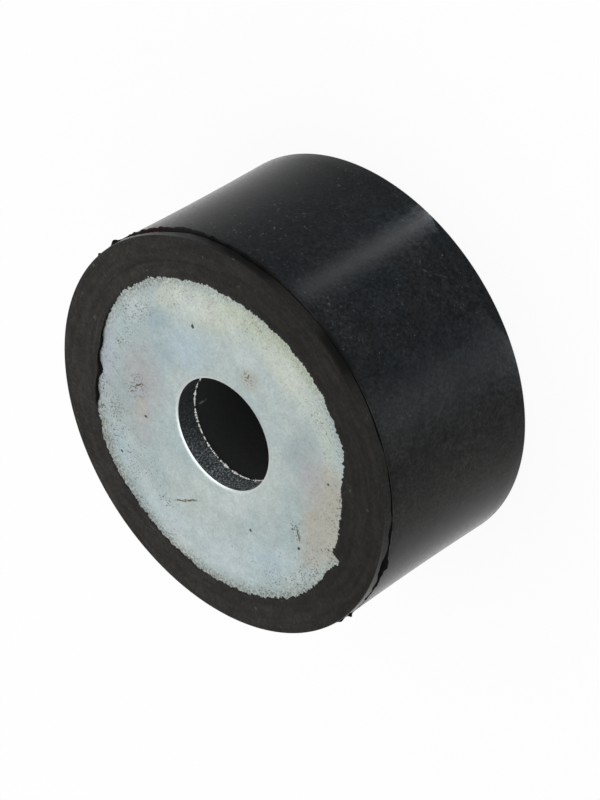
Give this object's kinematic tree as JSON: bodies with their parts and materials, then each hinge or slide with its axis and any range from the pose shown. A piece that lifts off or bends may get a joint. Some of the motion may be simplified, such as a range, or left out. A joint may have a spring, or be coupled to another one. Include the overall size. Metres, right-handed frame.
{
  "type": "vibration damper",
  "caption": "Short round rubber vibration damper with a punched steel plate bonded into each end face and a bolt hole straight through.",
  "frame": {"origin": "centre of the rear end face, on the bolt hole's axis, where the damper stands", "axes": "+Z along the bolt hole from the rear end face to the front end face; -Y towards the picture's viewer"},
  "size_m": [0.0606, 0.0606, 0.0297],
  "materials": {
    "rubber": "moulded black rubber, satin on the side and duller on the end faces",
    "zinc_steel": "dull pale zinc plating with brownish specks"
  },
  "bodies": {
    "root": {"rubber_body": "rubber", "front_plate": "zinc_steel", "rear_plate": "zinc_steel"}
  },
  "joints": []
}
